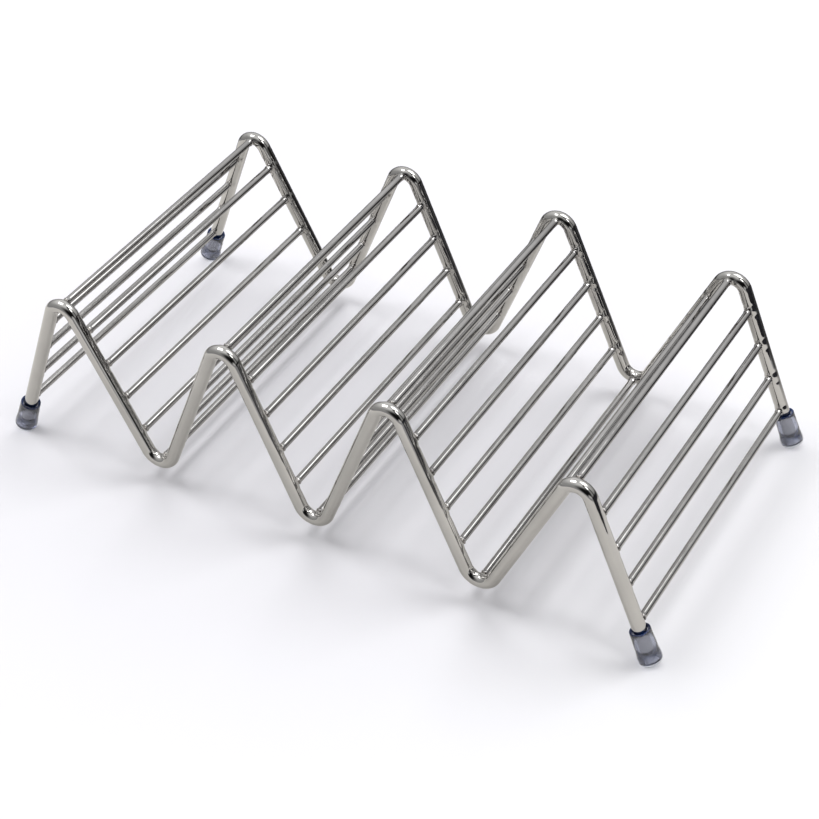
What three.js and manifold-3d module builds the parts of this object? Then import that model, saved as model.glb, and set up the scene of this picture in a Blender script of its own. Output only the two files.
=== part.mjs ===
// Zigzag wire toast rack: two bent wire rails joined by straight cross wires, on four vinyl foot caps.
// Millimetres. +X runs along the rails, +Y from the front rail to the back rail, +Z up.
// The origin is the centre of the rack at the height of the surface that the caps rest on.
import * as THREE from "three";
import { mergeVertices } from "three/addons/utils/BufferGeometryUtils.js";
import Module from "manifold-3d";

// ---- Driving dimensions ----
const RAIL_SPACING = 100; // between the centre lines of the two rails
const RAIL_RADIUS = 2;
const WIRE_RADIUS = 1.1;
const GAP = 0.3; // left between pieces that touch

// Corners of the rail's zigzag, where the straight limbs would meet if the bends were sharp.
const INNER_PEAK_X = 26.2;
const INNER_PEAK_Z = 63.9;
const OUTER_PEAK_X = 82.4;
const OUTER_PEAK_Z = 59.9;
const CENTRE_VALLEY_Z = -1.1;
const SIDE_VALLEY_X = 53;
const SIDE_VALLEY_Z = 0.1;
const PEAK_BEND_RADIUS = 4.2; // of the rail's centre line
const VALLEY_BEND_RADIUS = 4.8;

// A leg is the outermost limb, from the outer peak's corner down to its foot cap.
const LEG_TILT = THREE.MathUtils.degToRad(20.9); // away from upright
const LEG_LENGTH = 62; // from the corner to the wire's cut end, inside the cap

// Cross wires on a limb, measured down the limb from its peak's corner.
const WIRES_PER_LIMB = 4;
const WIRE_PITCH = 11.5;
const FIRST_WIRE_OUTER = 16; // on the limbs of the two outer peaks
const FIRST_WIRE_INNER = 17.2; // on the limbs of the two inner peaks
const LAST_PEAK_WIRE_SHIFT = -0.8; // the last peak's wire is welded a little off the crown

const CAP_LENGTH = 11;
const CAP_BASE = 1.1; // thickness of the closed end, under the leg's cut end
const CAP_BASE_RADIUS = 3.35;
const CAP_RIM_RADIUS = 3;
const CAP_BORE_RADIUS = RAIL_RADIUS + GAP;
const CAP_BASE_ROUND = 1.2;
const CAP_RIM_ROUND = 0.3;

const RAIL_SIDES = 24;
const WIRE_SIDES = 16;
const CAP_SIDES = 32;
const BEND_STEPS = 12;
const ROUND_STEPS = 4;

const steel = new THREE.MeshStandardMaterial({ color: 0xc8c3ba, roughness: 0.12, metalness: 1 });
const vinyl = new THREE.MeshStandardMaterial({
  color: 0x8995a8,
  roughness: 0.35,
  metalness: 0,
  transparent: true,
  opacity: 0.75,
});

const rack = new THREE.Group();

function addPiece(name, geometry, material) {
  const mesh = new THREE.Mesh(geometry, material);
  mesh.name = name;
  rack.add(mesh);
  return mesh;
}

// ---- Rails ----

// The rail's corners from the left foot to the right foot, as (x, z).
const legDrop = LEG_LENGTH * Math.cos(LEG_TILT);
const legReach = LEG_LENGTH * Math.sin(LEG_TILT);
const rightHalf = [
  new THREE.Vector2(INNER_PEAK_X, INNER_PEAK_Z),
  new THREE.Vector2(SIDE_VALLEY_X, SIDE_VALLEY_Z),
  new THREE.Vector2(OUTER_PEAK_X, OUTER_PEAK_Z),
  new THREE.Vector2(OUTER_PEAK_X + legReach, OUTER_PEAK_Z - legDrop),
];
const leftHalf = rightHalf.map((corner) => new THREE.Vector2(-corner.x, corner.y)).reverse();
const corners = [...leftHalf, new THREE.Vector2(0, CENTRE_VALLEY_Z), ...rightHalf];
const isPeak = (index) => index % 2 === 1;
const bendRadius = (index) => (isPeak(index) ? PEAK_BEND_RADIUS : VALLEY_BEND_RADIUS);

// The round bend at a corner: its start, its centre, and the signed angle that it turns through.
function bendAt(index) {
  const corner = corners[index];
  const towardStart = corners[index - 1].clone().sub(corner).normalize();
  const towardEnd = corners[index + 1].clone().sub(corner).normalize();
  const halfAngle = Math.acos(towardStart.dot(towardEnd)) / 2;
  const radius = bendRadius(index);
  const bisector = towardStart.clone().add(towardEnd).normalize();
  const centre = corner.clone().addScaledVector(bisector, radius / Math.sin(halfAngle));
  const start = corner.clone().addScaledVector(towardStart, radius / Math.tan(halfAngle));
  const side = Math.sign(towardStart.cross(towardEnd));
  return { start, centre, turn: side * (2 * halfAngle - Math.PI), towardStart };
}

// The point of a bend's centre line that lies straight above or below the corner, shifted along X.
function crownPoint(index, shift = 0) {
  const { centre } = bendAt(index);
  const rise = Math.sqrt(bendRadius(index) ** 2 - shift ** 2);
  return new THREE.Vector2(centre.x + shift, centre.y + (isPeak(index) ? rise : -rise));
}

// A curve through stations that are close together on the bends and only at the ends of the limbs.
class RailCurve extends THREE.Curve {
  constructor(y) {
    super();
    this.points = [];
    this.tangents = [];
    const add = (point, tangent) => {
      this.points.push(new THREE.Vector3(point.x, y, point.y));
      this.tangents.push(new THREE.Vector3(tangent.x, 0, tangent.y));
    };
    add(corners[0], corners[1].clone().sub(corners[0]).normalize());
    for (let index = 1; index < corners.length - 1; index += 1) {
      const bend = bendAt(index);
      for (let step = 0; step <= BEND_STEPS; step += 1) {
        const angle = (bend.turn * step) / BEND_STEPS;
        const point = bend.start.clone().rotateAround(bend.centre, angle);
        add(point, bend.towardStart.clone().negate().rotateAround(new THREE.Vector2(), angle));
      }
    }
    const last = corners.length - 1;
    add(corners[last], corners[last].clone().sub(corners[last - 1]).normalize());
  }

  get steps() {
    return this.points.length - 1;
  }

  getPointAt(u) {
    return this.points[Math.round(u * this.steps)].clone();
  }

  getTangentAt(u) {
    return this.tangents[Math.round(u * this.steps)].clone();
  }
}

function makeRail(name, y) {
  const section = new THREE.Shape();
  section.absarc(0, 0, RAIL_RADIUS, 0, 2 * Math.PI);
  const path = new RailCurve(y);
  const geometry = new THREE.ExtrudeGeometry(section, {
    extrudePath: path,
    steps: path.steps,
    curveSegments: RAIL_SIDES / 2,
  });
  addPiece(name, geometry, steel);
}

makeRail("rail_front", -RAIL_SPACING / 2);
makeRail("rail_back", RAIL_SPACING / 2);

// ---- Cross wires, butted against the inner sides of the rails ----

function wireGeometry() {
  const half = RAIL_SPACING / 2 - RAIL_RADIUS - GAP;
  const chamfer = WIRE_RADIUS / 5;
  const profile = [
    new THREE.Vector2(0, -half),
    new THREE.Vector2(WIRE_RADIUS - chamfer, -half),
    new THREE.Vector2(WIRE_RADIUS, -half + chamfer),
    new THREE.Vector2(WIRE_RADIUS, half - chamfer),
    new THREE.Vector2(WIRE_RADIUS - chamfer, half),
    new THREE.Vector2(0, half),
  ];
  return new THREE.LatheGeometry(profile, WIRE_SIDES);
}

const wire = wireGeometry();

function addWire(name, place) {
  addPiece(name, wire, steel).position.set(place.x, 0, place.y);
}

for (let index = 1; index < corners.length - 1; index += 1) {
  const number = Math.ceil(index / 2);
  if (isPeak(index)) {
    const shift = index === corners.length - 2 ? LAST_PEAK_WIRE_SHIFT : 0;
    addWire(`peak_wire_${number}`, crownPoint(index, shift));
  } else {
    addWire(`valley_wire_${number}`, crownPoint(index));
  }
}

for (let limb = 1; limb < corners.length; limb += 1) {
  const peakIndex = isPeak(limb) ? limb : limb - 1;
  const lowIndex = isPeak(limb) ? limb - 1 : limb;
  const peak = corners[peakIndex];
  const down = corners[lowIndex].clone().sub(peak).normalize();
  const first = Math.abs(peak.x) > SIDE_VALLEY_X ? FIRST_WIRE_OUTER : FIRST_WIRE_INNER;
  for (let row = 0; row < WIRES_PER_LIMB; row += 1) {
    const place = peak.clone().addScaledVector(down, first + row * WIRE_PITCH);
    addWire(`limb_${limb}_wire_${row + 1}`, place);
  }
}

// ---- Foot caps: blind vinyl sleeves on the legs, flat where they press on the table ----

const wasm = await Module();
wasm.setup();

function toManifold(geometry) {
  const bare = geometry.clone();
  bare.deleteAttribute("normal");
  bare.deleteAttribute("uv");
  const merged = mergeVertices(bare);
  const vertProperties = new Float32Array(merged.attributes.position.array);
  const triVerts = new Uint32Array(merged.index.array);
  return new wasm.Manifold(new wasm.Mesh({ numProp: 3, vertProperties, triVerts }));
}

function fromManifold(solid) {
  const mesh = solid.getMesh();
  const geometry = new THREE.BufferGeometry();
  geometry.setAttribute("position", new THREE.BufferAttribute(mesh.vertProperties, 3));
  geometry.setIndex(new THREE.BufferAttribute(mesh.triVerts, 1));
  geometry.computeVertexNormals();
  return geometry;
}

// Points of a quarter round from angle to angle + 90 degrees about (x, y).
function quarterRound(x, y, radius, angle) {
  const points = [];
  for (let step = 0; step <= ROUND_STEPS; step += 1) {
    const turn = angle + (Math.PI / 2) * (step / ROUND_STEPS);
    points.push(new THREE.Vector2(x + radius * Math.cos(turn), y + radius * Math.sin(turn)));
  }
  return points;
}

// The cap stands on its closed end at the origin, with its bore opening along +Z.
function capSolid() {
  const profile = [
    new THREE.Vector2(0, 0),
    ...quarterRound(CAP_BASE_RADIUS - CAP_BASE_ROUND, CAP_BASE_ROUND, CAP_BASE_ROUND, -Math.PI / 2),
    ...quarterRound(CAP_RIM_RADIUS - CAP_RIM_ROUND, CAP_LENGTH - CAP_RIM_ROUND, CAP_RIM_ROUND, 0),
    new THREE.Vector2(CAP_BORE_RADIUS, CAP_LENGTH),
    new THREE.Vector2(CAP_BORE_RADIUS, CAP_BASE),
    new THREE.Vector2(0, CAP_BASE),
  ];
  const geometry = new THREE.LatheGeometry(profile, CAP_SIDES);
  geometry.rotateX(Math.PI / 2);
  return toManifold(geometry);
}

// The closed end sits past the leg's cut end, along the leg.
const capDistance = LEG_LENGTH + GAP + CAP_BASE;
const capX = OUTER_PEAK_X + capDistance * Math.sin(LEG_TILT);
const capZ = OUTER_PEAK_Z - capDistance * Math.cos(LEG_TILT);

// The cap of a right-hand leg, in its own frame, trimmed by the table's surface.
function footCapGeometry() {
  const frame = new THREE.Matrix4().makeRotationY(-LEG_TILT);
  frame.setPosition(capX, 0, capZ);
  const table = new THREE.BoxGeometry(40, 40, 20);
  table.translate(capX, 0, -10);
  table.applyMatrix4(frame.invert());
  return fromManifold(capSolid().subtract(toManifold(table)));
}

const footCap = footCapGeometry();

for (const [depth, y] of [["front", -RAIL_SPACING / 2], ["back", RAIL_SPACING / 2]]) {
  const right = addPiece(`foot_cap_${depth}_right`, footCap, vinyl);
  right.position.set(capX, y, capZ);
  right.rotation.y = -LEG_TILT;
  const left = addPiece(`foot_cap_${depth}_left`, footCap, vinyl);
  left.position.set(-capX, y, capZ);
  left.rotation.set(0, -LEG_TILT, Math.PI, "ZYX");
}

export default rack;
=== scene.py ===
"""Zigzag wire toast rack: fine steel rails, welded cross wires and translucent foot caps on the CAD frame.

Metres, in the frame's axes: +X along the rails, +Y from the front rail to the back rail, +Z up.
"""
import math

import bpy
from mathutils import Matrix, Vector, noise


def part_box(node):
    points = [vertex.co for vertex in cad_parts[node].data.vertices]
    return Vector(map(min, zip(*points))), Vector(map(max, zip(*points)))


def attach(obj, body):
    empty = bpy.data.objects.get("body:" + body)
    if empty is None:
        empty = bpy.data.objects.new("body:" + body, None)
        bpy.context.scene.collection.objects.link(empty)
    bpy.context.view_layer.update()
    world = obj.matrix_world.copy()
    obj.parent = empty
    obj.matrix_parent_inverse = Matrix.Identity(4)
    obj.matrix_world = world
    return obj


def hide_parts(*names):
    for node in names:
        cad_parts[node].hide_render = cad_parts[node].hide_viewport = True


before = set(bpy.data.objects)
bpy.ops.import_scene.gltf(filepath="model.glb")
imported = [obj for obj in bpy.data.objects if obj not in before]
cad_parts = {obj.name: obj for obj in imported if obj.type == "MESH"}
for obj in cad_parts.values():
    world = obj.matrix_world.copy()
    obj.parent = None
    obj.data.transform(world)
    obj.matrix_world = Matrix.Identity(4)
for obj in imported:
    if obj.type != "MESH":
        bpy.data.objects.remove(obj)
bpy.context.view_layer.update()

MM = 0.001

# ---- Dimensions that the frame doesn't state ----
PEAK_BEND_RADIUS = 4.2 * MM
VALLEY_BEND_RADIUS = 4.8 * MM
LIMBS = 8  # straight stretches of a rail, counted from the left leg to the right leg
WIRES_PER_LIMB = 4

# ---- Fineness: points around each round section, and rings along a rail's bends and limbs ----
RAIL_SIDES = 40
WIRE_SIDES = 28
CAP_SIDES = 64
BEND_STEPS = 28
LIMB_STEPS = 12


# ---- Camera, at the photo's viewing angle ----
def make_camera():
    """The camera looks down from the front right, and the picture is turned a little."""
    azimuth = math.radians(31.54)
    elevation = math.radians(39.73)
    roll = math.radians(-2.48)
    distance = 0.58414
    target = Vector((0.01123, -0.01431, 0.025))
    back = Vector((
        math.sin(azimuth) * math.cos(elevation),
        -math.cos(azimuth) * math.cos(elevation),
        math.sin(elevation),
    ))
    data = bpy.data.cameras.new("camera")
    data.sensor_width = 36
    data.lens = 89.26
    data.clip_start = 0.01
    camera = bpy.data.objects.new("camera", data)
    bpy.context.scene.collection.objects.link(camera)
    turn = back.to_track_quat("Z", "Y").to_matrix().to_4x4()
    spin = turn @ Matrix.Rotation(roll, 4, "Z")
    camera.matrix_world = Matrix.Translation(target + back * distance) @ spin
    bpy.context.scene.camera = camera


make_camera()


# ---- Materials ----
class Nodes:
    """Short calls for adding shader nodes and links to one node tree."""

    def __init__(self, tree):
        self.tree = tree
        tree.nodes.clear()

    def add(self, kind, settings=None, **inputs):
        node = self.tree.nodes.new("ShaderNode" + kind)
        for name, value in (settings or {}).items():
            setattr(node, name, value)
        for name, value in inputs.items():
            socket = node.inputs[name.replace("_", " ")]
            if isinstance(value, bpy.types.NodeSocket):
                self.tree.links.new(value, socket)
            else:
                socket.default_value = value
        return node

    def link(self, output, socket):
        self.tree.links.new(output, socket)

    def ramp(self, factor, stops):
        """A colour ramp through (position, colour) stops."""
        node = self.add("ValToRGB", Fac=factor)
        elements = node.color_ramp.elements
        while len(elements) > 1:
            elements.remove(elements[-1])
        elements[0].position, elements[0].color = stops[0]
        for position, colour in stops[1:]:
            elements.new(position).color = colour
        return node.outputs["Color"]

    def vector(self, operation, a, b):
        """A vector operation on two sockets or constant vectors."""
        node = self.add("VectorMath", {"operation": operation})
        for socket, value in zip(node.inputs, (a, b)):
            if isinstance(value, bpy.types.NodeSocket):
                self.link(value, socket)
            else:
                socket.default_value = value
        return node.outputs["Value" if operation in ("DOT_PRODUCT", "DISTANCE") else "Vector"]

    def maths(self, operation, a, b):
        """A maths operation on two number sockets."""
        node = self.add("Math", {"operation": operation})
        self.link(a, node.inputs[0])
        self.link(b, node.inputs[1])
        return node.outputs[0]

    def remap(self, value, low, high):
        """A 0 to 1 value stretched to run from low to high."""
        return self.add("MapRange", Value=value, To_Min=low, To_Max=high).outputs["Result"]


def grey(value):
    """A grey as a node colour."""
    return (value, value, value, 1)


def new_material(name):
    material = bpy.data.materials.new(name)
    material.use_nodes = True
    return material, Nodes(material.node_tree)


def steel_material(name, bright, dull, rough_low, rough_high, bump):
    """Steel with a cloudy tone, grainy smudges in its gloss and a faintly wavy surface."""
    material, nodes = new_material(name)
    place = nodes.add("TexCoord").outputs["Object"]
    clouds = nodes.add("TexNoise", Vector=place, Scale=60, Detail=4, Roughness=0.6).outputs["Fac"]
    grain = nodes.add("TexNoise", Vector=place, Scale=900, Detail=3, Roughness=0.5).outputs["Fac"]
    swell = nodes.add("TexNoise", Vector=place, Scale=170, Detail=1, Roughness=0.4).outputs["Fac"]
    colour = nodes.ramp(clouds, [(0.3, bright), (0.7, dull)])
    rough = nodes.add(
        "MapRange",
        Value=nodes.maths("MULTIPLY", clouds, grain),
        From_Min=0.15,
        From_Max=0.4,
        To_Min=rough_low,
        To_Max=rough_high,
    ).outputs["Result"]
    wave = nodes.add("Bump", Height=swell, Strength=bump, Distance=0.0002)
    skin = nodes.add("Bump", Height=grain, Strength=bump, Distance=0.00001, Normal=wave.outputs[0])
    shader = nodes.add(
        "BsdfPrincipled",
        Base_Color=colour,
        Metallic=1.0,
        Roughness=rough,
        Normal=skin.outputs[0],
    )
    nodes.add("OutputMaterial", Surface=shader.outputs[0])
    return material


steel = steel_material(
    "polished_steel", (0.53, 0.52, 0.505, 1), (0.465, 0.456, 0.442, 1), 0.02, 0.06, 0.2
)
wire_steel = steel_material(
    "drawn_steel", (0.42, 0.412, 0.408, 1), (0.31, 0.303, 0.3, 1), 0.03, 0.09, 0.15
)
weld = steel_material(
    "weld_steel", (0.56, 0.54, 0.52, 1), (0.28, 0.27, 0.265, 1), 0.06, 0.2, 0.7
)


def vinyl_material(name, pale, deep, transmission):
    """Clear blue-grey vinyl: the light that goes through it loses red first."""
    material, nodes = new_material(name)
    place = nodes.add("TexCoord").outputs["Object"]
    haze = nodes.add("TexNoise", Vector=place, Scale=260, Detail=3, Roughness=0.5).outputs["Fac"]
    colour = nodes.ramp(haze, [(0.35, pale), (0.65, deep)])
    rough = nodes.remap(haze, 0.02, 0.1)
    bump = nodes.add("Bump", Height=haze, Strength=0.15, Distance=0.0001)
    shader = nodes.add(
        "BsdfPrincipled",
        Base_Color=colour,
        Roughness=rough,
        IOR=1.48,
        Transmission_Weight=transmission,
        Normal=bump.outputs[0],
    )
    depth = nodes.add("VolumeAbsorption", Color=(0.25, 0.285, 0.43, 1), Density=420)
    nodes.add("OutputMaterial", Surface=shader.outputs[0], Volume=depth.outputs[0])
    return material


vinyl = vinyl_material("foot_vinyl", (0.97, 0.975, 0.985, 1), (0.92, 0.93, 0.95, 1), 0.96)
# Painted shade: the cap's mouth is painted near-black navy for the dark gap around the leg.
vinyl_mouth_painted_shade = vinyl_material("foot_vinyl_mouth", (0.005, 0.016, 0.08, 1), (0.01, 0.05, 0.22, 1), 0.4)
vinyl_base = vinyl_material("foot_vinyl_base", (0.97, 0.98, 1.0, 1), (0.86, 0.89, 0.95, 1), 0.25)


# ---- Mesh making ----
def add_piece(name, node, vertices, faces, materials, face_materials=None):
    """A smooth mesh that stands for a CAD node."""
    mesh = bpy.data.meshes.new(name)
    mesh.from_pydata([tuple(v) for v in vertices], [], faces)
    for material in materials:
        mesh.materials.append(material)
    mesh.shade_smooth()
    if face_materials:
        mesh.polygons.foreach_set("material_index", face_materials)
    mesh.validate()
    piece = bpy.data.objects.new(name, mesh)
    bpy.context.scene.collection.objects.link(piece)
    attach(piece, "root")
    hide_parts(node)
    return piece


def skin_rings(rings):
    """Vertices and faces over a list of equal rings of points, with a flat end on each side."""
    sides = len(rings[0])
    vertices = [point for ring in rings for point in ring]
    faces = []
    for level in range(len(rings) - 1):
        for side in range(sides):
            here = level * sides + side
            beside = level * sides + (side + 1) % sides
            faces.append((here, beside, beside + sides, here + sides))
    faces.append(tuple(reversed(range(sides))))
    last = (len(rings) - 1) * sides
    faces.append(tuple(range(last, last + sides)))
    return vertices, faces


# ---- Rails ----
def centre(node):
    """The middle of a CAD node's box."""
    low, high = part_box(node)
    return (low + high) / 2


rail_low, rail_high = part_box("rail_front")
RAIL_RADIUS = (rail_high.y - rail_low.y) / 2
wire_low, wire_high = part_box("limb_1_wire_1")
WIRE_RADIUS = (wire_high.z - wire_low.z) / 2


def flat(point):
    """A point of the frame seen along Y, as (x, z)."""
    return Vector((point.x, point.z))


def limb_line(limb):
    """Two points of a limb's centre line: its first and last cross wires lie on it."""
    first = flat(centre(f"limb_{limb}_wire_1"))
    last = flat(centre(f"limb_{limb}_wire_{WIRES_PER_LIMB}"))
    return (last, first) if limb % 2 == 1 else (first, last)


def crossing(line_a, line_b):
    """Where two lines of the XZ plane meet."""
    a, b = line_a
    c, d = line_b
    along, other = b - a, d - c
    share = (c - a).cross(other) / along.cross(other)
    return a + along * share


def rail_corners():
    """The zigzag's corners from the left foot to the right foot, as (x, z)."""
    lines = [limb_line(limb) for limb in range(1, LIMBS + 1)]
    corners = [crossing(lines[i], lines[i + 1]) for i in range(LIMBS - 1)]
    down = (lines[-1][1] - lines[-1][0]).normalized()
    foot_z = rail_low.z + RAIL_RADIUS * down.x
    foot = corners[-1] + down * (foot_z - corners[-1].y) / down.y
    return [Vector((-foot.x, foot.y)), *corners, foot]


def rail_path():
    """Points and directions of the rail's centre line, with round bends at the corners."""
    corners = rail_corners()
    path = []
    start = corners[0]
    for index in range(1, len(corners)):
        corner = corners[index]
        along = (corner - start).normalized()
        if index == len(corners) - 1:
            end = corner
        else:
            onward = (corners[index + 1] - corner).normalized()
            half = math.acos(max(-1, min(1, -along.dot(onward)))) / 2
            radius = PEAK_BEND_RADIUS if index % 2 == 1 else VALLEY_BEND_RADIUS
            end = corner - along * radius / math.tan(half)
        for step in range(LIMB_STEPS + 1):
            path.append((start.lerp(end, step / LIMB_STEPS), along))
        if index < len(corners) - 1:
            bisector = (onward - along).normalized()
            middle = corner + bisector * radius / math.sin(half)
            turn = math.copysign(math.pi - 2 * half, along.cross(onward))
            arm = end - middle
            for step in range(1, BEND_STEPS):
                spin = Matrix.Rotation(turn * step / BEND_STEPS, 2)
                path.append((middle + spin @ arm, spin @ along))
            start = corner + onward * radius / math.tan(half)
    return path


RAIL_PATH = rail_path()


def rail_ring(point, along, y, radius):
    """A ring of the rail's round section, square to its centre line."""
    across = Vector((-along.y, along.x))
    ring = []
    for side in range(RAIL_SIDES):
        angle = 2 * math.pi * side / RAIL_SIDES
        place = point + across * radius * math.cos(angle)
        ring.append((place.x, y + radius * math.sin(angle), place.y))
    return ring


def hump(shape, away):
    """A smooth swelling: its height, how far away its top is, and its width."""
    height, place, width = shape
    return height * math.exp(-(((away - place) / width) ** 2))


WIRE_NODES = sorted(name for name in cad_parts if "_wire_" in name)
JOINTS = [flat(centre(name)) for name in WIRE_NODES]
JOINT_REACH = 3 * MM  # how far from a cross wire the press has moved the rail's surface
JOINT_STEPS = 14  # rings in place of one, in each long step of the path near a joint
LONG_STEP = 2 * MM  # shorter steps, as in the bends, are fine enough as they are
JOINT_RISE = (0.12 * MM, 0.0, 0.9 * MM)  # swelling of the rail's inner side at a cross wire
JOINT_DIP = (0.06 * MM, 1.6 * MM, 0.6 * MM)  # and the shallow trough beside it
JOINT_SEED_STEP = 2.3  # how far apart in the noise two joints are, so that no two look alike
RAIL_BEVEL = 0.25 * MM  # the broken edge of the rail's cut ends


def fine_path():
    """The rail's path with extra rings around the cross wires."""
    path = []
    for (point, along), (onward, _) in zip(RAIL_PATH, RAIL_PATH[1:]):
        middle = (point + onward) / 2
        nearest = min((joint - middle).length for joint in JOINTS)
        close = nearest < JOINT_REACH + (onward - point).length / 2
        steps = JOINT_STEPS if close and (onward - point).length > LONG_STEP else 1
        for step in range(steps):
            path.append((point.lerp(onward, step / steps), along))
    path.append(RAIL_PATH[-1])
    return path


def pressed(ring, point, y):
    """The ring with its surface moved where a cross wire was pressed and welded on."""
    away, number = min(((joint - point).length, index) for index, joint in enumerate(JOINTS))
    if away > JOINT_REACH:
        return ring
    inner = -1 if y > 0 else 1  # the way along Y from this rail to the other
    moved = []
    for x, place_y, z in ring:
        arm = Vector((x - point.x, place_y - y, z - point.y))
        out = arm.normalized()
        inward = max(0.0, min(1.0, 0.1 + 1.3 * out.y * inner))  # 1 on the wire's side, 0 opposite
        lump = 1 + noise.noise(Vector((out.x * 1.5, out.z * 1.5, number * JOINT_SEED_STEP + inner)))
        lift = (hump(JOINT_RISE, away) - hump(JOINT_DIP, away)) * inward * lump
        moved.append((x + out.x * lift, place_y + out.y * lift, z + out.z * lift))
    return moved


def make_rail(node):
    y = centre(node).y
    rings = []
    first, along = RAIL_PATH[0]
    rings.append(rail_ring(first, along, y, RAIL_RADIUS - RAIL_BEVEL))
    rings.append(rail_ring(first + along * RAIL_BEVEL, along, y, RAIL_RADIUS))
    for point, direction in fine_path()[1:-1]:
        rings.append(pressed(rail_ring(point, direction, y, RAIL_RADIUS), point, y))
    last, along = RAIL_PATH[-1]
    rings.append(rail_ring(last - along * RAIL_BEVEL, along, y, RAIL_RADIUS))
    rings.append(rail_ring(last, along, y, RAIL_RADIUS - RAIL_BEVEL))
    vertices, faces = skin_rings(rings)
    add_piece(node + "_tube", node, vertices, faces, [steel])


for rail in ("rail_front", "rail_back"):
    make_rail(rail)


# ---- Cross wires, butt-welded to the inner faces of the rails ----
RAIL_Y = centre("rail_back").y
END_LENGTH = 2.3 * MM  # the stretch of each wire end that the weld has reshaped
END_STEPS = 22
NECK = (0.3, 0.38 * MM, 0.2 * MM)  # pinch beside the rail: depth, distance from its face, width
BULGE = (0.15, 1.05 * MM, 0.38 * MM)  # swelling of the pressed end: height, distance, width
COLLAR = (0.26, 0.0, 0.13 * MM)  # weld metal on the rail: height, distance, width
WELD_DEPTH = 0.05 * MM  # how far a wire's end sinks into the rail
WELD_SEED_STEP = 3.7  # how far apart in the noise two wires are
FACE_REACH = 0.97  # the outermost part of a rail's radius that a wire's end may follow
WELD_FACES = WIRE_SIDES * END_STEPS // 3  # the faces of each end that are bare weld metal
SEGMENTS = [(a, b) for (a, _), (b, _) in zip(RAIL_PATH, RAIL_PATH[1:])]


def distance_to_path(point):
    """Distance in the XZ plane from a point to the rails' centre line."""
    distances = []
    for a, b in SEGMENTS:
        span = b - a
        share = max(0.0, min(1.0, (point - a).dot(span) / span.length_squared))
        distances.append((a + span * share - point).length)
    return min(distances)


def rail_face(x, z):
    """How far from the middle plane the inner face of a rail is at (x, z)."""
    offset = min(distance_to_path(Vector((x, z))), RAIL_RADIUS * FACE_REACH)
    return RAIL_Y - math.sqrt(RAIL_RADIUS**2 - offset**2)


def make_wire(node, seed):
    """A rod between the rails; the seed makes each wire's welds a little different."""
    middle = centre(node)
    rings = []
    for end in (-1, 1):
        end_rings = []
        for step in range(END_STEPS + 1):
            away = END_LENGTH * step / END_STEPS
            ring = []
            for side in range(WIRE_SIDES):
                angle = 2 * math.pi * side / WIRE_SIDES
                around = Vector((math.cos(angle), math.sin(angle), seed * WELD_SEED_STEP + end))
                lump = noise.noise(around)
                growth = hump(BULGE, away) * (1 + lump) + hump(COLLAR, away) * (1 + 1.5 * lump)
                radius = WIRE_RADIUS * (1 + growth - hump(NECK, away) * (1 + 0.5 * lump))
                x = middle.x + radius * math.cos(angle)
                z = middle.z + radius * math.sin(angle)
                ring.append((x, end * (rail_face(x, z) - away + WELD_DEPTH), z))
            end_rings.append(ring)
        rings.extend(end_rings if end < 0 else reversed(end_rings))
    vertices, faces = skin_rings(rings)
    faces = [tuple(reversed(face)) for face in faces]
    end_faces = 2
    plain_faces = WIRE_SIDES * (2 * END_STEPS + 1) - 2 * WELD_FACES
    slots = [1] * WELD_FACES + [0] * plain_faces + [1] * WELD_FACES + [1] * end_faces
    add_piece(node + "_rod", node, vertices, faces, [wire_steel, weld], slots)


for number, node in enumerate(WIRE_NODES):
    make_wire(node, number)


# ---- Foot caps ----
CAP_LENGTH = 11 * MM
CAP_BASE = 1.2 * MM
CAP_BASE_RADIUS = 3.35 * MM
CAP_RIM_RADIUS = 3.0 * MM
CAP_BORE_RADIUS = RAIL_RADIUS + 0.04 * MM
CAP_BASE_ROUND = 1.2 * MM
CAP_RIM_ROUND = 0.3 * MM
CAP_RING_HEIGHT = 3 * MM
CAP_WAIST_RADIUS = 3.14 * MM
CAP_MOUTH = 0.45 * MM  # how far the bore opens out at the rim
CAP_SEAT = 0.15 * MM  # the space between the leg's cut end and the bottom of the bore
CAP_BASE_LEVELS = range(2, 13)  # the bands between rings that round off the closed end
# The mouth bands carry painted shade: near-black navy for the dark gap around the leg.
CAP_MOUTH_LEVELS = range(24, 30)  # the bands from the top of the rim into the flared mouth


def quarter(x, y, radius, angle, steps):
    """Points of a quarter round from angle to angle plus 90 degrees."""
    points = []
    for step in range(steps + 1):
        turn = angle + math.pi / 2 * step / steps
        points.append((x + radius * math.cos(turn), y + radius * math.sin(turn)))
    return points


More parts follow.
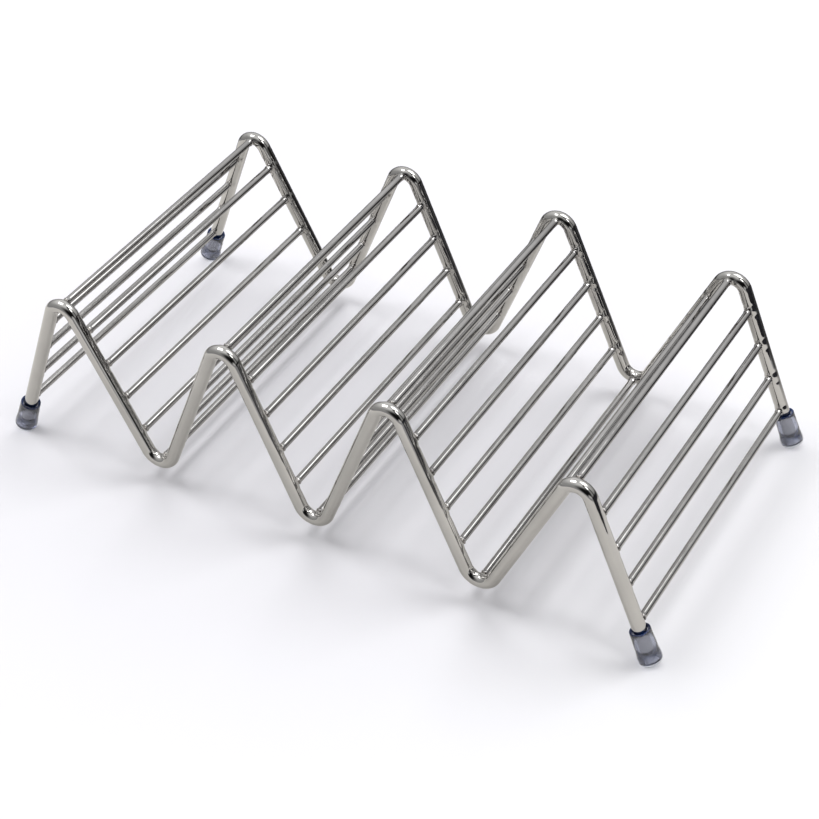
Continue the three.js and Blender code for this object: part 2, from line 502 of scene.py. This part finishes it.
def cap_profile():
    """The cap's section from the middle of its closed end, up the outside and down the bore."""
    shoulder = CAP_BASE_RADIUS - CAP_BASE_ROUND
    rim = CAP_LENGTH - CAP_RIM_ROUND
    return [
        (shoulder * 0.5, 0),
        *quarter(shoulder, CAP_BASE_ROUND, CAP_BASE_ROUND, -math.pi / 2, 12),
        (CAP_BASE_RADIUS + 0.03 * MM, CAP_RING_HEIGHT * 0.7),
        (CAP_BASE_RADIUS, CAP_RING_HEIGHT * 0.9),
        (CAP_BASE_RADIUS - 0.06 * MM, CAP_RING_HEIGHT * 1.05),
        (CAP_WAIST_RADIUS + 0.06 * MM, CAP_RING_HEIGHT * 1.22),
        (CAP_WAIST_RADIUS, CAP_RING_HEIGHT * 1.4),
        (CAP_WAIST_RADIUS, CAP_LENGTH * 0.55),
        (CAP_RIM_RADIUS + 0.03 * MM, CAP_LENGTH * 0.8),
        *quarter(CAP_RIM_RADIUS - CAP_RIM_ROUND, rim, CAP_RIM_ROUND, 0, 6),
        (CAP_BORE_RADIUS + CAP_MOUTH, CAP_LENGTH),
        (CAP_BORE_RADIUS + CAP_MOUTH * 0.7, CAP_LENGTH - 0.25 * MM),
        (CAP_BORE_RADIUS + CAP_MOUTH * 0.25, CAP_LENGTH - 0.7 * MM),
        (CAP_BORE_RADIUS, CAP_LENGTH - 1.4 * MM),
        (CAP_BORE_RADIUS, CAP_LENGTH * 0.5),
        (CAP_BORE_RADIUS, CAP_BASE),
        (CAP_BORE_RADIUS * 0.5, CAP_BASE),
    ]


def make_cap(node, side):
    """A cap on a leg's end; side is 1 for a right-hand leg and -1 for a left-hand leg."""
    y = centre(node).y
    foot, along = RAIL_PATH[-1] if side > 0 else RAIL_PATH[0]
    up = -along if side > 0 else along
    base = foot - up * (CAP_BASE + CAP_SEAT)
    across = Vector((up.y, -up.x))
    rings = []
    for radius, height in cap_profile():
        ring = []
        for step in range(CAP_SIDES):
            angle = 2 * math.pi * step / CAP_SIDES
            place = base + up * height + across * radius * math.cos(angle)
            ring.append((place.x, y + radius * math.sin(angle), max(0.0, place.y)))
        rings.append(ring)
    vertices, faces = skin_rings(rings)
    slots = [0] * len(faces)
    for skin, levels in ((1, CAP_MOUTH_LEVELS), (2, CAP_BASE_LEVELS)):
        for level in levels:
            slots[level * CAP_SIDES : (level + 1) * CAP_SIDES] = [skin] * CAP_SIDES
    skins = [vinyl, vinyl_mouth_painted_shade, vinyl_base]
    cap = add_piece(node + "_sleeve", node, vertices, faces, skins, slots)
    cap.visible_shadow = False  # clear vinyl lets the light through to the floor


for depth in ("front", "back"):
    make_cap(f"foot_cap_{depth}_left", -1)
    make_cap(f"foot_cap_{depth}_right", 1)


# ---- Floor and light ----
def paper_material(name, middle, stops):
    """Pale paper whose tone follows (distance from a middle point, colour) stops."""
    material, nodes = new_material(name)
    place = nodes.add("TexCoord").outputs["Object"]
    colour = nodes.ramp(nodes.vector("DISTANCE", place, middle), stops)
    shader = nodes.add("BsdfPrincipled", Base_Color=colour, Roughness=0.9)
    nodes.add("OutputMaterial", Surface=shader.outputs[0])
    return material


def table_material():
    """A dim studio table with painted light: a painted oval pool of light around the object, and painted
    shade behind it.
    """
    material, nodes = new_material("table_paper")
    place = nodes.add("TexCoord").outputs["Object"]
    oval = nodes.vector("MULTIPLY", place, (1, 1.4, 1))
    # Painted pool of light: brightest in an oval around the object, dim beyond it.
    light = nodes.ramp(nodes.vector("DISTANCE", oval, (-0.02, -0.12, 0)), [
        (0.0, (0.63, 0.62, 0.60, 1)),
        (0.10, (0.72, 0.70, 0.68, 1)),
        (0.20, (0.80, 0.78, 0.75, 1)),
        (0.32, (0.80, 0.78, 0.76, 1)),
        (0.37, (0.36, 0.36, 0.37, 1)),
    ])
    # Painted shade: the table is painted dark behind the object.
    back = nodes.ramp(nodes.vector("DOT_PRODUCT", place, (0, 1, 0)), [
        (0.06, grey(1.0)),
        (0.12, grey(0.15)),
    ])
    colour = nodes.vector("MULTIPLY", light, back)
    shader = nodes.add("BsdfPrincipled", Base_Color=colour, Roughness=0.9, Specular_IOR_Level=0)
    nodes.add("OutputMaterial", Surface=shader.outputs[0])
    return material


def make_sheet(name, corners, material):
    """A flat four-cornered sheet of the stage."""
    mesh = bpy.data.meshes.new(name)
    mesh.from_pydata(corners, [], [(0, 1, 2, 3)])
    mesh.materials.append(material)
    sheet = bpy.data.objects.new(name, mesh)
    bpy.context.scene.collection.objects.link(sheet)
    return sheet


def only_mirrored(sheet):
    """A sheet that is seen in shiny surfaces and nowhere else."""
    sheet.visible_camera = False
    sheet.visible_diffuse = False
    sheet.visible_transmission = False
    sheet.visible_shadow = False


FLOOR_SIZE = 3.0  # from its middle to each edge
TABLE_HEIGHT = 0.2 * MM  # just above the floor, so that mirrored rays meet the table first


def floor_corners(height):
    """The corners of a level square around the origin."""
    square = ((-1, -1), (1, -1), (1, 1), (-1, 1))
    return [(x * FLOOR_SIZE, y * FLOOR_SIZE, height) for x, y in square]


def make_floors():
    """A white floor for the eye with painted shade around the rack, and the dimmer studio table that the
    steel mirrors, with a painted pool of light.
    """
    # Painted shade: the floor is painted darker and cooler around and under the rack, fading to white
    # further out.
    white = paper_material("floor_paper", (-0.05, 0.02, 0), [
        (0.0, (0.775, 0.77, 0.81, 1)),
        (0.12, (0.785, 0.78, 0.815, 1)),
        (0.2, (0.835, 0.835, 0.86, 1)),
        (0.27, (0.96, 0.96, 0.97, 1)),
        (0.4, (0.99, 0.99, 0.99, 1)),
    ])
    floor = make_sheet("floor", floor_corners(0), white)
    floor.visible_glossy = False
    table = make_sheet("table", floor_corners(TABLE_HEIGHT), table_material())
    only_mirrored(table)


def make_card():
    """A low black card standing on the table to the right, for the steel to mirror."""
    black = paper_material("black_card", (0.3, 0.05, 0.04), [
        (0.0, (0.012, 0.012, 0.018, 1)),
        (0.3, (0.02, 0.02, 0.028, 1)),
    ])
    x, start, end, top = 0.30, -0.15, 0.25, 0.085
    corners = [(x, start, 0), (x, end, 0), (x, end, top), (x, start, top)]
    only_mirrored(make_sheet("card", corners, black))


def toward(azimuth, elevation):
    """The unit vector at an azimuth, turning from +Y to +X, and an elevation, in degrees."""
    turn, lift = math.radians(azimuth), math.radians(elevation)
    return (math.sin(turn) * math.cos(lift), math.cos(turn) * math.cos(lift), math.sin(lift))


def lobe(nodes, place, squash, middle):
    """Nearness to a direction, in a sky squashed towards the horizon: 1 at the middle."""
    tall = nodes.vector("MULTIPLY", place, (1, 1, squash))
    return nodes.vector("DOT_PRODUCT", nodes.vector("NORMALIZE", tall, (0, 0, 0)), middle)


def flag(nodes, place, azimuth):
    """A narrow upright black flag, from the horizon to most of the way up: 0 on it, 1 elsewhere."""
    beside = nodes.vector("DOT_PRODUCT", place, toward(azimuth + 90, 0))
    beyond = nodes.vector("DOT_PRODUCT", place, toward(azimuth - 90, 0))
    strip = nodes.ramp(nodes.maths("MAXIMUM", beside, beyond), [(0.10, grey(0.01)), (0.13, grey(1.0))])
    reach = nodes.ramp(
        nodes.vector("DOT_PRODUCT", place, toward(azimuth, 42)),
        [(0.82, grey(1.0)), (0.86, grey(0.0))],
    )
    return nodes.vector("MAXIMUM", strip, reach)


def make_world():
    """A studio with a bright ceiling, dark behind the camera and to the right, on a white backdrop."""
    world = bpy.data.worlds.new("studio")
    bpy.context.scene.world = world
    world.use_nodes = True
    nodes = Nodes(world.node_tree)
    place = nodes.add("TexCoord").outputs["Generated"]
    room = nodes.ramp(nodes.vector("DOT_PRODUCT", place, toward(-30, 70)), [
        (0.0, grey(0.33)),
        (0.34, grey(0.36)),
        (0.57, grey(0.54)),
        (0.77, grey(0.78)),
        (0.87, grey(0.82)),
        (0.98, grey(0.66)),
    ])
    behind = nodes.ramp(lobe(nodes, place, 1.8, toward(150, 30)), [
        (0.70, grey(1.0)),
        (0.80, grey(0.6)),
        (0.86, grey(0.3)),
        (0.90, grey(0.06)),
        (0.95, grey(0.02)),
    ])
    right = nodes.ramp(lobe(nodes, place, 4.5, toward(80, 2)), [
        (0.62, grey(1.0)),
        (0.72, grey(0.5)),
        (0.80, grey(0.04)),
    ])
    window = nodes.ramp(nodes.vector("DOT_PRODUCT", place, toward(134, -2)), [
        (0.95, grey(0.0)),
        (0.98, grey(0.5)),
    ])
    walls = nodes.vector("MULTIPLY", nodes.vector("MULTIPLY", room, behind), right)
    for azimuth in (78, 122):
        walls = nodes.vector("MULTIPLY", walls, flag(nodes, place, azimuth))
    studio = nodes.add("Background", Color=nodes.vector("ADD", walls, window), Strength=1.3)
    backdrop = nodes.add("Background", Color=(1, 1, 1, 1), Strength=1.0)
    eye = nodes.add("LightPath").outputs["Is Camera Ray"]
    mix = nodes.add("MixShader", Fac=eye)
    nodes.link(studio.outputs[0], mix.inputs[1])
    nodes.link(backdrop.outputs[0], mix.inputs[2])
    nodes.add("OutputWorld", Surface=mix.outputs[0])


LIGHT_DISTANCE = 1.2  # from the origin to each softbox


def make_light(name, direction, size, power):
    """A softbox that shines on the origin from a direction."""
    data = bpy.data.lights.new(name, "AREA")
    data.shape = "RECTANGLE"
    data.size, data.size_y = size
    data.energy = power
    light = bpy.data.objects.new(name, data)
    bpy.context.scene.collection.objects.link(light)
    light.location = Vector(direction) * LIGHT_DISTANCE
    light.rotation_euler = light.location.to_track_quat("Z", "Y").to_euler()


make_floors()
make_card()
make_world()
make_light("softbox_left", toward(-92, 64), size=(0.5, 0.5), power=4.6)
make_light("softbox_back", toward(32, 62), size=(0.55, 0.55), power=4.8)
make_light("softbox_right", toward(101, 55), size=(0.28, 0.38), power=1.2)
bpy.context.scene.view_settings.view_transform = "Standard"
